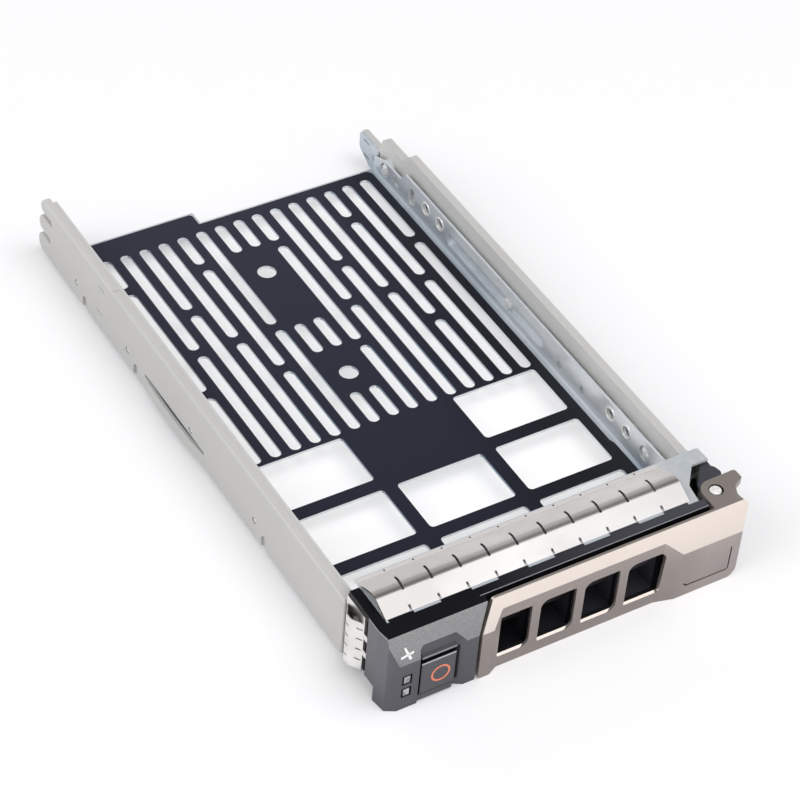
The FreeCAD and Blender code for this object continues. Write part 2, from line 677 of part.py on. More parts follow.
def build_body():
    # The outer shell: floor, roof, front lip, side wall, bulkheads and the vent bay's ribs.
    side = -body_side
    front = handle_left + 2.9
    roof_top = top_plate_z + 0.1
    bay = body_front + button_travel - button_back + 1.6
    floor = prism_xy([(side, 12.3), (side + 2.2, 12.3), (side + 2.2, bay), (front, bay), (front, body_front),
                      (body_right, body_front), (body_right, body_rear), (side, body_rear)], body_foot, 2.0)
    roof = prism_xy([(side + 1.8, 3.0), (handle_left + 1.1, 3.0), (front + 0.1, body_front),
                     (body_right - 0.5, body_front), (body_right - 0.5, 13.5), (body_right + 4.2, 19.6),
                     (body_right + 4.2, body_rear - 0.7), (side + 1.8, body_rear - 0.7)],
                    top_plate_z, plate_bed_z)
    lip = prism_xy([(side, body_rear - 0.7), (side, cover_rear + 0.1), (side - 0.2, cover_rear + 0.1),
                    (side - 0.2, 6.5), (side + 0.45, cover_back), (handle_left + 1.9, cover_back),
                    (front, body_front), (body_right - 0.2, body_front), (body_right - 0.2, front_lip_rear),
                    (side + 2.8, front_lip_rear), (side + 2.8, body_rear - 0.7)], top_plate_z, bezel_height)
    parts = [floor, roof, lip]
    parts.append(box(side, side + 1.8, 12.3, body_rear, side_relief_z, roof_top))
    parts.append(box(front, front + 1.5, body_front, body_rear, body_foot, roof_top))
    parts.append(box(body_right - 1.5, body_right, body_front, body_rear, body_foot, roof_top))
    parts.append(box(side + 1.7, front + 0.6, bulkhead_front, bulkhead_rear, body_foot, roof_top))
    for step in (-1, 0, 1, 2):
        x = rib_middle + step * rib_pitch
        parts.append(box(x - 0.7, x + 0.7, 4.0, body_rear, 1.9, roof_top))
    for z in (9.2, 15.6):
        parts.append(box(front + 1.4, body_right - 1.4, 7.6, 20.0, z, z + 1.2))
    for x in (-screw_x, screw_x):
        parts.append(cyl(x, screw_y, body_foot, 3.4, floor_bottom - body_foot, Z))
    # The hinge block to the right of the vent bay, with the barrel that carries the pin.
    east = rail_outer
    block_top = lug_foot_z - 0.3
    block = prism_xy([(body_right - 0.5, 13.2), (east - 1.1, 13.2), (east + 0.3, 14.6, 2.0),
                      (east - 1.3, 19.8, 2.0), (east - 1.3, body_rear), (body_right - 0.5, body_rear)],
                     body_foot, block_top)
    cap = prism_xy([(body_right - 0.5, 13.2), (east + 0.9, 13.2, 1.0), (east + 2.4, 16.4, 1.5),
                    (east + 1.8, 18.6, 0.5), (east + 1.1, 19.3), (east + 1.3, 21.6, 0.5),
                    (east + 0.2, body_rear), (body_right - 0.5, body_rear)],
                   18.5, block_top)
    barrel = cyl(pivot_x, pivot_y, barrel_foot, barrel_r, lug_foot_z - 0.4 - barrel_foot, Z)
    web = box(pivot_x - 2.6, pivot_x + 2.6, pivot_y + 2.0, 14.0, 4.3, block_top)
    brace = box(body_right - 0.5, pivot_x, pivot_y + 0.4, 13.6, 4.3, 14.0)
    body = fuse(parts + [block, cap, barrel, web, brace])
    cuts = [cyl(pivot_x, pivot_y, -1, pivot_r + pin_seat_clearance, 40, Z)]
    cuts.append(cyl(pivot_x, pivot_y, 4.0, 4.1, barrel_foot - 4.0, Z))
    cuts.append(cyl(pivot_x - leg_offset, pivot_y - 0.5, 4.8, leg_r + 0.05, 4.3, Y))
    cuts.append(box(side - 5, side_relief_x, 0, 30, -1, side_relief_z))
    cuts.append(cyl(button_x, 10, button_z, stem_bore_r, 5, Y))
    cuts.append(box(side + 1.9, side + 7.0, 10, 14, 10.0, top_plate_z - 0.5))
    for x in (-screw_x, screw_x):
        cuts.append(cyl(x, screw_y, -1, screw_hole_r, 10, Z))
        cuts.append(cyl(x, screw_y, -1, 2.4, 2.6, Z))
        cuts.append(box(x - 8.4, x + 8.4, screw_y - 4.4, 30, floor_bottom - 0.001, floor_top + 0.4))
    cuts.append(box(body_right + 2.0, body_right + 6.6, 15.0, 21.0, 2.0, 13.0))
    # The dark recess between the bracket's slanted edge and the barrel.
    cuts.append(prism_xy([(body_right + 0.2, 12.6), (body_right + 2.4, 12.6), (body_right + 4.4, 17.6),
                          (body_right + 0.2, 17.6)], 14.5, bezel_height))
    return body.cut(Part.makeCompound(cuts)).removeSplitter()


def build_shield():
    plate_top = plate_bed_z + sheet
    plate = prism_xy([(strip_left, front_lip_rear + 0.3), (body_right - 1.6, front_lip_rear + 0.3),
                      (body_right - 0.6, 13.7), (body_right + 4.6, 20.0), (rail_outer + 0.3, 20.0),
                      (rail_outer + 0.1, shield_rear), (strip_left, shield_rear)], plate_bed_z, plate_top)
    web_half = wall_inner - 0.3
    web = box(-web_half, web_half, shield_rear - sheet, shield_rear, floor_top, plate_top)
    foot = box(-shield_foot_half, shield_foot_half, shield_rear - sheet, shield_foot_rear,
               floor_top, floor_top + sheet)
    shield = fuse([plate, web, foot])
    cuts = []
    half = vent_half
    for row in range(vent_rows):
        for column in range(vent_columns):
            x = (column - (vent_columns - 1) / 2) * vent_pitch
            z = 10.6 + row * 5.0
            cuts.append(prism_xz([(x - half, z), (x - half / 2, z + 1.9), (x + half / 2, z + 1.9), (x + half, z),
                                  (x + half / 2, z - 1.9), (x - half / 2, z - 1.9)],
                                 shield_rear - 2, shield_rear + 1))
    for x in shield_rivet_x:
        cuts.append(cyl(x, shield_rivet_y, floor_top - 1, shield_rivet_r + 0.05, 4, Z))
    return shield.cut(Part.makeCompound(cuts))


def build_top_strip():
    z = plate_bed_z + sheet
    t = strip_thickness
    crest = z + strip_rise
    outer = [(strip_rear, z), (strip_rear, z + t), (strip_rear - 1.2, z + t, 3.0), (17.2, crest - 0.2, 4.0),
             (14.2, crest, 1.8), (strip_front, z + t), (strip_front, z)]
    inner = [(9.3, z - 0.01), (14.1, crest - 0.38, 1.5), (17.0, crest - 0.58, 3.6),
             (strip_rear - 1.6, z - 0.01)]
    strip = prism_yz(outer, strip_left, strip_right)
    strip = strip.cut(prism_yz(inner, strip_left - 1, strip_right + 1))
    half = slit_width / 2
    lips = []
    cuts = []
    for i in range(strip_slits):
        x = crest_slit_first + i * strip_pitch
        lean = 0.4
        cuts.append(prism_xy([(x - lean - half, 13.8), (x - lean + half, 13.8), (x + lean + half, 19.4),
                              (x + lean - half, 19.4)], z + 0.6, z + 6))
        x = front_slit_first + i * strip_pitch
        cuts.append(box(x - half, x + half, strip_front - 2, strip_front + 1.6, z - 1, z + 6))
        cuts.append(cyl(crest_slit_first + i * strip_pitch, strip_rear - 0.5, z - 1, dot_r, 3, Z))
        if i % 2 == 0:
            lips.append(box(x, x + strip_pitch, lip_front, strip_front + 0.1, z, z + t))
    return fuse([strip] + lips).cut(Part.makeCompound(cuts))


def build_side_strip():
    # A flat carrier against the bezel's side, with fingers bowed out from it.
    x = -body_side
    t = strip_thickness
    bulge = side_bulge
    outer = [(x, 13.4), (x - t, 13.4), (x - bulge, 16.6, 1.6), (x - bulge, 18.8, 1.6), (x - t, 22.1), (x, 22.1)]
    inner = [(x - t, 14.0), (x - bulge + t, 16.8, 1.3), (x - bulge + t, 18.6, 1.3), (x - t, 21.5)]
    fingers = prism_xy(outer, side_strip_foot, side_finger_top)
    fingers = fingers.cut(prism_xy(inner, side_strip_foot - 1, side_finger_top + 1))
    parts = [fingers, box(x - t, x, 13.0, 22.1, side_strip_foot, side_strip_top)]
    for z in side_lip_feet:
        parts.append(box(x - t, x, side_lip_front, 13.1, z, z + side_lip_height))
    cuts = []
    for i in range(side_slits):
        z = side_strip_foot + (i + 1) * side_slit_pitch
        cuts.append(box(x - 4, x - t - 0.05, 13.0, 15.1, z - 0.25, z + 0.25))
        cuts.append(box(x - 4, x - 1.2, 17.4, 19.6, z - 1.2, z - 0.8))
    return fuse(parts).cut(Part.makeCompound(cuts))


def build_light_pipe(z_front, z_rear):
    half = light_pipe_width / 2
    rail_x = -(rail_inner - 0.2 - half)
    wide = led_half_width - led_frame
    tall = led_half_height - led_frame
    window = box(led_x - wide, led_x + wide, cover_front + 0.1, 3.0, z_front - tall, z_front + tall)
    points = [V(led_x, 2.9, z_front), V(led_x, 6.0, z_front), V(rail_x, 17.0, z_rear),
              V(rail_x, light_pipe_rear, z_rear)]
    start = wire_xz(rounded(led_x - half, led_x + half, z_front - half, z_front + half, 0), 2.9)
    pipe = Part.Wire(Part.makePolygon(points)).makePipeShell([start], True, False, 1)
    return window.fuse(pipe).removeSplitter()


def build_screws():
    screws = []
    for x in (-screw_x, screw_x):
        head = cyl(x, screw_y, 0.4, 2.2, 1.2, Z)
        shank = cyl(x, screw_y, 1.5, screw_hole_r - 0.05, 6.4, Z)
        screws.append(head.fuse(shank).removeSplitter())
    return Part.makeCompound(screws)


def build_shield_rivets():
    rivets = []
    for x in shield_rivet_x:
        shank = cyl(x, shield_rivet_y, floor_bottom - 0.5, shield_rivet_r, 2.9, Z)
        top = cyl(x, shield_rivet_y, floor_top + sheet, 2.1, 0.7, Z)
        low = cyl(x, shield_rivet_y, floor_bottom - 0.6, 1.9, 0.6, Z)
        rivets.append(fuse([shank, top, low]))
    return Part.makeCompound(rivets)


def build_handle_spring():
    # Torsion spring round the pin, between the lower lug and the barrel, with its leg in the body.
    rings = []
    for i in range(4):
        rings.append(Part.makeTorus(2.9, 0.3, V(pivot_x, pivot_y, 4.8 + i * 0.8), Z))
    rings.append(Part.makeCylinder(0.24, 2.4, V(pivot_x, pivot_y + 2.9, 4.8), Z))
    rings.append(Part.makeCylinder(leg_r, 4.0, V(pivot_x - leg_offset, pivot_y - 0.4, 4.8), Y))
    return fuse(rings)


save("tray_pan", build_pan())
save("insulator_film", build_film())
save("left_rail", build_left_rail())
save("right_rail", build_right_rail())
save("rail_rivets", build_rivets())
save("bezel_body", build_body())
save("bezel_cover", build_cover())
save("release_button", build_button())
save("button_ring", build_ring())
save("button_spring", build_button_spring())
save("latch_catch", build_catch())
save("handle", build_handle())
save("pivot_pin", build_pin())
save("handle_spring", build_handle_spring())
save("shield_bracket", build_shield())
save("shield_rivets", build_shield_rivets())
save("top_contact_strip", build_top_strip())
save("side_contact_strip", build_side_strip())
save("upper_light_pipe", build_light_pipe(led_z[1], light_pipe_rear_z[1]))
save("lower_light_pipe", build_light_pipe(led_z[0], light_pipe_rear_z[0]))
save("bezel_screws", build_screws())
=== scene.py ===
import json
import math

import bmesh
import bpy
from mathutils import Matrix, Vector


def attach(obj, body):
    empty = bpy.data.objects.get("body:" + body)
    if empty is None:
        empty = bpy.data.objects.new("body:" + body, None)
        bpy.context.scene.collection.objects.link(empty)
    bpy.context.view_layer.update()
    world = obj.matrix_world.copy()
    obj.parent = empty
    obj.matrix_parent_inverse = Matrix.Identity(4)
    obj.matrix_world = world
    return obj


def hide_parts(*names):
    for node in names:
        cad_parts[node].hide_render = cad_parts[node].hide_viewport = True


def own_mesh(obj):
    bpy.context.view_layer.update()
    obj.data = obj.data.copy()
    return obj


MM = 0.001
UP = Vector((0, 0, 1))
REARWARD = Vector((0, 1, 0))
SHARP_ANGLE = math.radians(32)
DARK = (0.004, 0.004, 0.004)

# Places on the part in metres: the hinge, the button, and the pair of status windows beside it.
PIVOT = Vector((50.9, 9.0, 0)) * MM
BUTTON_X = -0.04005
WINDOW_X = -0.0495
WINDOW_Z = 0.00855
WINDOW_HALF_PITCH = 0.00235

# On the front, a face whose normal rises more than this belongs to the slope.
SLOPE_RISE = 0.12

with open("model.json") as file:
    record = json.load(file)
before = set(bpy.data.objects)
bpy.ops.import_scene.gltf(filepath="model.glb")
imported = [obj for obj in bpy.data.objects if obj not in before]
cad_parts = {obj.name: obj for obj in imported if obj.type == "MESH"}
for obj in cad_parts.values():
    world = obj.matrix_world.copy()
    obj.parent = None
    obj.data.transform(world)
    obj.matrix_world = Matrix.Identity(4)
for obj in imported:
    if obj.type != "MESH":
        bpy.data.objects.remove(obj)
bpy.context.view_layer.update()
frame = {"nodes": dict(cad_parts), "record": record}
RECORD = frame["record"]
SLOT_OF = {part["node"]: part["material_slot"] for part in RECORD["subparts"]}
BODY_OF = {node: body for body, nodes in RECORD["behaviour"]["bodies"].items() for node in nodes}


class Value:
    """One output of a material's nodes, with arithmetic on numbers."""

    def __init__(self, finish, socket):
        self.finish = finish
        self.socket = socket

    def __add__(self, other):
        return self.finish.maths("ADD", self, other)

    def __radd__(self, other):
        return self.finish.maths("ADD", other, self)

    def __sub__(self, other):
        return self.finish.maths("SUBTRACT", self, other)

    def __rsub__(self, other):
        return self.finish.maths("SUBTRACT", other, self)

    def __mul__(self, other):
        return self.finish.maths("MULTIPLY", self, other)

    def __abs__(self):
        return self.finish.maths("ABSOLUTE", self)

    def at_least(self, other):
        return self.finish.maths("MAXIMUM", self, other)


class Finish:
    """A material under construction: its nodes are added here and joined to the shader."""

    def __init__(self, name):
        self.material = bpy.data.materials.new(name)
        self.material.use_nodes = True
        self.tree = self.material.node_tree
        self.shader = self.tree.nodes["Principled BSDF"]
        self.place = self.node("ShaderNodeTexCoord", {})["Object"]

    def node(self, kind, settings, *values, **named):
        """Adds a node, its settings first, and returns its outputs by name or number."""
        node = self.tree.nodes.new(kind)
        for key, value in settings.items():
            if key == "stops":
                for i, (at, shade) in enumerate(value):
                    element = node.color_ramp.elements[i] if i < 2 else node.color_ramp.elements.new(at)
                    element.position = at
                    element.color = (shade, shade, shade, 1) if isinstance(shade, float) else (*shade, 1)
            else:
                setattr(node, key, value)
        spoken = [(key.replace("_", " "), value) for key, value in named.items()]
        for key, value in list(enumerate(values)) + spoken:
            socket = node.inputs[key]
            if isinstance(value, Value):
                self.tree.links.new(value.socket, socket)
            elif value is not None:
                socket.default_value = value
        return {key: Value(self, out) for i, out in enumerate(node.outputs) for key in (i, out.name)}

    def noise(self, scale, detail=4.0, roughness=0.5, stretch=(1, 1, 1)):
        place = self.node("ShaderNodeMapping", {}, Vector=self.place, Scale=stretch)["Vector"]
        return self.node("ShaderNodeTexNoise", {}, Vector=place, Scale=scale, Detail=detail,
                         Roughness=roughness)["Fac"]

    def cells(self, scale):
        """A grey tone of its own for each small cell."""
        colour = self.node("ShaderNodeTexVoronoi", {}, Vector=self.place, Scale=scale)["Color"]
        return self.node("ShaderNodeRGBToBW", {}, colour)[0]

    def maths(self, operation, *inputs):
        return self.node("ShaderNodeMath", {"operation": operation}, *inputs)[0]

    def ramp(self, value, *stops):
        return self.node("ShaderNodeValToRGB", {"stops": stops}, value)["Color"]

    def split(self, vector):
        parts = self.node("ShaderNodeSeparateXYZ", {}, vector)
        return parts["X"], parts["Y"], parts["Z"]

    def axes(self):
        return self.split(self.place)

    def facing(self):
        return self.split(self.node("ShaderNodeNewGeometry", {})["True Normal"])

    def above(self, value, limit):
        return self.maths("GREATER_THAN", value, limit)

    def below(self, value, limit):
        return self.maths("LESS_THAN", value, limit)

    def near(self, value, middle, reach):
        """1 where the value lies within reach of the middle, else 0."""
        return self.below(abs(value - middle), reach)

    def blend(self, amount, one, other):
        if isinstance(one, tuple):
            one = (*one, 1)
        if isinstance(other, tuple):
            other = (*other, 1)
        node = self.tree.nodes.new("ShaderNodeMix")
        node.data_type = "RGBA"
        node.clamp_factor = True
        for index, value in ((0, amount), (6, one), (7, other)):
            if isinstance(value, Value):
                self.tree.links.new(value.socket, node.inputs[index])
            else:
                node.inputs[index].default_value = value
        return Value(self, node.outputs[2])

    def bump(self, height, distance, onto=None):
        return self.node("ShaderNodeBump", {}, Height=height, Distance=distance, Strength=1.0,
                         Normal=onto)["Normal"]

    def done(self, **sockets):
        for key, value in sockets.items():
            socket = self.shader.inputs[key.replace("_", " ")]
            if isinstance(value, Value):
                self.tree.links.new(value.socket, socket)
            elif isinstance(value, tuple) and len(value) == 3:
                socket.default_value = (*value, 1)
            else:
                socket.default_value = value
        return self.material


def zinc_sheet():
    # Galvanised sheet: pale blue-grey, with faint crystal patches and rolling streaks. The walls are
    # painted paler as painted light, and darker and bluer towards their foot and their rear end as
    # painted shade.
    f = Finish("zinc_sheet")
    spangle = f.cells(520)
    cloud = f.noise(70, 5)
    streak = f.noise(110, 3, stretch=(1, 0.1, 1))
    tone = spangle * 0.16 + cloud * 0.5 + streak * 0.34
    colour = f.ramp(tone, (0.3, (0.60, 0.65, 0.70)), (0.72, (0.85, 0.875, 0.895)))
    x, y, z = f.axes()
    across, along, upward = f.facing()
    upright = 0.7
    wall = f.above(abs(across), upright)
    # Painted light: the upright walls are painted paler than the flat.
    colour = f.blend(wall * 0.4, colour, (0.93, 0.945, 0.96))
    # Painted shade: patchy, darker and bluer towards the walls' foot.
    painted_shade_patches = f.ramp(f.noise(30, 2, stretch=(1, 0.4, 1)), (0.40, 0.15), (0.60, 1.0))
    painted_shade_top = 0.0128
    colour = f.blend(wall * painted_shade_patches * ((painted_shade_top - z) * 170), colour, (0.20, 0.27, 0.36))
    # Painted shade: the walls darker towards their rear end.
    middle_y = 0.10
    colour = f.blend(wall * ((y - middle_y) * 7), colour, (0.44, 0.50, 0.56))
    # Painted shade: the flat beside the right wall's foot is painted dark.
    flange_left = 0.046
    flange = f.above(upward, upright) * f.below(z, 0.008) * f.above(x, flange_left)
    colour = f.blend(flange * (painted_shade_patches * 0.4 + 0.25), colour, (0.20, 0.27, 0.33))
    # Painted shade: the floor of the small holes along the top strip's rear edge is painted dark.
    hole_row_y = 0.0239
    row_end_x = 0.0415
    under = f.near(y, hole_row_y, 0.0003) * f.above(z, 0.02625) * f.below(x, row_end_x)
    colour = f.blend(under, colour, (0.03, 0.03, 0.03))
    # Painted highlight: the bracket's cut front edges are painted bright.
    bracket_foot = 0.0254
    colour = f.blend(f.below(along, -0.4) * f.above(z, bracket_foot), colour, (0.97, 0.975, 0.98))
    return f.done(Base_Color=colour, Metallic=0.55, Roughness=0.26 + tone * 0.2,
                  Normal=f.bump(streak * 0.7 + spangle * 0.3, 0.000012))


def black_film():
    # Matt polyester film, near black with a faint blue sheen and very fine grain.
    # Painted light: it is paler towards its rear, and painted shade darkens it beside the right wall.
    f = Finish("black_film")
    grain = f.noise(2600, 2)
    cloud = f.noise(22, 3)
    x, y, _ = f.axes()
    front_y = 0.03
    middle_y = 0.1
    shade_from_x = 0.012
    painted_light_falloff = f.blend((y - front_y) * 7, (0.007, 0.008, 0.0185), (0.019, 0.0205, 0.036))
    painted_wall_shade = (x - shade_from_x - (y - middle_y) * 0.15) * 30
    colour = f.blend(painted_wall_shade + (cloud - 0.5) * 0.4, painted_light_falloff, (0.002, 0.003, 0.0065))
    return f.done(Base_Color=colour, Roughness=0.46 + cloud * 0.1, Specular_IOR_Level=0.4,
                  Normal=f.bump(grain, 0.000006))


def rail_metal():
    # Cast rail with a fine satin coat, warm light grey. Where the right rail looks inwards it is painted
    # paler as painted light.
    f = Finish("rail_metal")
    grain = f.noise(1700, 3)
    cloud = f.noise(14, 4)
    tone = cloud * 0.8 + grain * 0.2
    colour = f.ramp(tone, (0.3, (0.485, 0.48, 0.472)), (0.7, (0.555, 0.548, 0.536)))
    x, _, z = f.axes()
    across, _, _ = f.facing()
    right_rail_x = 0.05
    painted_light_inner = f.above(x, right_rail_x) * f.below(across, -0.7)
    # Painted light: lower down, where the wall's holes look onto it, the inner face is palest.
    shelf_z = 0.0108
    painted_light_colour = f.blend(f.below(z, shelf_z), (0.66, 0.655, 0.64), (0.86, 0.86, 0.85))
    colour = f.blend(painted_light_inner, colour, painted_light_colour)
    return f.done(Base_Color=colour, Metallic=0.2, Roughness=0.46 + grain * 0.1,
                  Normal=f.bump(grain, 0.000008))


def rivet_metal(name):
    # Bright turned metal with a few rubbed marks.
    f = Finish(name)
    marks = f.noise(700, 3)
    colour = f.ramp(marks, (0.3, (0.78, 0.78, 0.78)), (0.7, (0.94, 0.935, 0.925)))
    return f.done(Base_Color=colour, Metallic=0.35, Roughness=0.2 + marks * 0.15)


def moulded(name, dark, light, roughness, grain_scale, grain_depth, specular=0.5, metallic=0.0,
            tones=None):
    # Moulded plastic: fine spark-eroded grain and a slow change of tone, and its own tones by place.
    f = Finish(name)
    grain = f.noise(grain_scale, 4, 0.6)
    cloud = f.noise(45, 2)
    colour = f.blend(grain * 0.6 + cloud * 0.4, dark, light)
    if tones:
        colour = tones(f, colour)
    return f.done(Base_Color=colour, Metallic=metallic, Roughness=roughness + grain * 0.12,
                  Specular_IOR_Level=specular, Normal=f.bump(grain, grain_depth))


def body_tones(f, colour):
    # Painted shade: deep black beside the cover and on the front of the lip, easing slowly to grey
    # towards the hinge. The lip's upper front edge carries a painted highlight.
    x, y, z = f.axes()
    grey_from_x = 0.030
    lip_front_y = 0.00505
    painted_deep_shade = ((grey_from_x - x) * 18).at_least(f.below(y, lip_front_y))
    colour = f.blend(painted_deep_shade, colour, (0.004, 0.004, 0.006))
    # Painted shade: beside the bracket's slanted edge the hinge block is painted as a rough dark hollow.
    edge_x = 0.0454
    edge_y = 0.0137
    edge_lean = 0.825
    hollow_width = 0.0033
    beside = x - edge_x - (y - edge_y) * edge_lean
    painted_hollow_shade = (hollow_width - beside) * 1800 * f.above(x, 0.0440) * f.above(y, 0.0095)
    painted_hollow_tone = f.ramp(f.noise(700, 3), (0.45, (0.004, 0.005, 0.005)), (0.66, (0.030, 0.036, 0.034)))
    colour = f.blend(painted_hollow_shade, colour, painted_hollow_tone)
    # Painted highlight along the lip's upper front edge.
    cover_right = -0.0262
    edge = f.near(y, 0.00506, 0.00011) * f.above(z, 0.02635) * f.above(x, cover_right)
    return f.blend(edge, colour, (0.26, 0.265, 0.285))


def cover_tones(f, colour):
    # The upper slope is speckled, and painted paler where it faces up as painted light. The windows'
    # frames are dark, and the button's opening is painted dark as shade.
    x, y, z = f.axes()
    speckle = f.ramp(f.noise(3000, 3, 0.7), (0.35, (0.22, 0.22, 0.225)), (0.65, (0.36, 0.36, 0.365)))
    _, _, upward = f.facing()
    slope_foot = 0.0169
    painted_slope_light = (upward - SLOPE_RISE) * 12
    colour = f.blend(painted_slope_light * f.above(z, slope_foot) * 0.8, colour, speckle)
    # Above the button the ridge between pocket and slope is painted dark as shade, with a painted
    # highlight along its foot.
    ridge_x = -0.0401
    ridge = f.near(x, ridge_x, 0.0055) * f.below(z, slope_foot + 0.00005) * f.above(y, 0.0007)
    colour = f.blend(ridge * f.above(z, 0.01624), colour, (0.045, 0.045, 0.052))
    colour = f.blend(ridge * f.near(z, 0.01608, 0.0002) * 0.8, colour, (0.34, 0.34, 0.36))
    # Painted shade: the slanted wall right of the button is painted dark.
    pocket_wall_x = BUTTON_X + 0.0061
    painted_pocket_shade = f.near(x, pocket_wall_x, 0.00065) * f.near(z, 0.0090, 0.0064) * ((y - 0.0010) * 3000)
    colour = f.blend(painted_pocket_shade, colour, DARK)
    beside_middle = abs(z - WINDOW_Z)
    frames = f.near(x, WINDOW_X, 0.00153) * f.near(beside_middle, WINDOW_HALF_PITCH, 0.00183)
    # Painted shade: thin dark lines at the sides of the button's opening.
    opening_half_width = 0.0056
    opening_side = f.near(abs(x - BUTTON_X), opening_half_width, 0.00009)
    painted_opening_shade = opening_side * f.near(z, 0.0090, 0.0066)
    return f.blend(frames.at_least(painted_opening_shade) * f.above(y, 0.00042), colour, DARK)


def button_tones(f, colour):
    # The front's upper edge carries a painted highlight, and the top and sides are painted dark as the
    # shade of the opening.
    x, y, z = f.axes()
    top_z = 0.01412
    front_y = 0.0006
    half_width = 0.00518
    top = f.above(z, top_z)
    front = f.below(y, front_y)
    sides = f.above(abs(x - BUTTON_X), half_width)
    colour = f.blend(top * front * 0.75, colour, (0.42, 0.42, 0.44))
    return f.blend(sides.at_least(top * (1.0 - front)), colour, DARK)


def orange_plastic():
    # The button's ring.
    f = Finish("orange_plastic")
    cloud = f.noise(600, 2)
    colour = f.blend(cloud, (0.82, 0.22, 0.125), (0.90, 0.30, 0.18))
    return f.done(Base_Color=colour, Roughness=0.35)


def handle_paint():
    # Champagne metallic lacquer with very fine flakes.
    f = Finish("handle_paint")
    flake = f.cells(6000)
    cloud = f.noise(24, 3)
    tone = flake * 0.25 + cloud * 0.4 + 0.15
    colour = f.blend(tone, (0.72, 0.63, 0.575), (0.87, 0.765, 0.695))
    # The hinge end is a little paler than the grip. The slope is painted paler as painted light, and the
    # lug on top a little darker as painted shade.
    x, y, z = f.axes()
    _, _, upward = f.facing()
    grip_end_x = 0.034
    level = 0.9
    hinge_end = (x - grip_end_x) * 150 * f.below(upward, SLOPE_RISE)
    colour = f.blend(hinge_end * 0.65, colour, (1.0, 0.88, 0.81))
    colour = f.blend((upward - SLOPE_RISE) * 5, colour, (0.95, 0.85, 0.78))
    colour = f.blend((upward - level) * 20, colour, (0.66, 0.585, 0.54))
    # The line round the end's panel is dark, and the mouth round the pin is painted dark as shade.
    panel_middle_x = 0.04485
    panel_half_width = 0.00775
    panel_top = 0.0124
    groove = f.near(y, 0.00022, 0.00012)
    line = groove * f.near(x, panel_middle_x, panel_half_width) * f.below(z, panel_top)
    mouth_radius = 0.00209
    mouth_floor = 0.0250
    aside = x - PIVOT.x
    behind = y - PIVOT.y
    radius = f.maths("SQRT", aside * aside + behind * behind)
    painted_mouth_shade = f.below(radius, mouth_radius) * f.above(z, mouth_floor)
    colour = f.blend(line.at_least(painted_mouth_shade), colour, (0.02, 0.018, 0.016))
    return f.done(Base_Color=colour, Metallic=0.9, Roughness=0.31 + flake * 0.08,
                  Normal=f.bump(flake, 0.000004))


def spring_steel():
    # Bright rolled strip whose crest is rolled over to the rear; the dark band along the front of the
    # crest is partly wear, rubbed dull, and partly a painted reflection.
    f = Finish("spring_steel")
    x, y, z = f.axes()
    strip_foot = 0.0265
    crest_y = 0.0147
    lips_rear = 0.00862
    rear_edge_front = 0.0228
    on_top = f.above(z, strip_foot)
    rolling = f.noise(34, 5, 0.6, stretch=(0.5, 1, 1))
    speckle = f.noise(900, 3)
    crest = (1.0 - abs((y - crest_y) * 1000)).at_least(0.0)
    wear_and_painted_reflection = crest * on_top * (0.2 + speckle * 0.5)
    bright = f.ramp(rolling, (0.38, (0.77, 0.74, 0.72)), (0.58, (0.96, 0.94, 0.92)))
    # Painted reflection: the front slope is painted darker towards the right.
    front_slope = f.below(y, crest_y - 0.0004) * on_top
    bright = f.blend(front_slope * (x + 0.030) * 8, bright, (0.70, 0.685, 0.67))
    colour = f.blend(wear_and_painted_reflection, bright, (0.40, 0.37, 0.35))
    # The small lips and the flat rear edge are matt.
    lips = on_top * f.below(y, lips_rear)
    rear = on_top * f.above(y, rear_edge_front)
    colour = f.blend(lips, f.blend(rear, colour, (0.56, 0.54, 0.53)), (0.40, 0.43, 0.47))
    rolled = f.node("ShaderNodeMapRange", {"interpolation_type": "SMOOTHSTEP"}, Value=y,
                    From_Min=crest_y - 0.0002, From_Max=crest_y + 0.0032, To_Min=1.0, To_Max=0.0)[0]
    rolled_over = f.bump(rolled * on_top, 0.00057)
    return f.done(Base_Color=colour, Metallic=1.0 - (lips + rear) * 0.9,
                  Roughness=0.24 + rolling * 0.12 + wear_and_painted_reflection * 0.2,
                  Normal=f.bump(rolling, 0.00001, rolled_over))


def clear_plastic():
    # Frosted light pipe: greyish in the two front windows, dark at their rims, milky along the rail.
    f = Finish("clear_plastic")
    x, y, z = f.axes()
    cloud = f.noise(500, 2)
    front = f.ramp(cloud, (0.40, (0.28, 0.28, 0.29)), (0.60, (0.50, 0.50, 0.51)))
    half_width = 0.00088
    half_height = 0.00118
    beyond_middle = abs(z - WINDOW_Z) - WINDOW_HALF_PITCH
    rim = f.above(abs(x - WINDOW_X), half_width).at_least(f.above(abs(beyond_middle), half_height))
    front = f.blend(rim, front, (0.02, 0.02, 0.02))
    rear = f.blend(cloud, (0.47, 0.467, 0.458), (0.54, 0.535, 0.525))
    front_depth = 0.004
    return f.done(Base_Color=f.blend(f.above(y, front_depth), front, rear), Roughness=0.35)


def peened_steel():
    # The pin's end, hammered over: bright, with shallow dents.
    f = Finish("peened_steel")
    dents = f.noise(1100, 3, 0.6)
    colour = f.ramp(dents, (0.3, (0.62, 0.62, 0.59)), (0.6, (0.93, 0.93, 0.91)))
    return f.done(Base_Color=colour, Metallic=0.3, Roughness=0.34, Normal=f.bump(dents, 0.00012))


def icon_print():
    # White ink.
    f = Finish("icon_print")
    grain = f.noise(3000, 2)
    colour = f.blend(grain, (0.86, 0.86, 0.86), (0.95, 0.95, 0.95))
    return f.done(Base_Color=colour, Roughness=0.5)


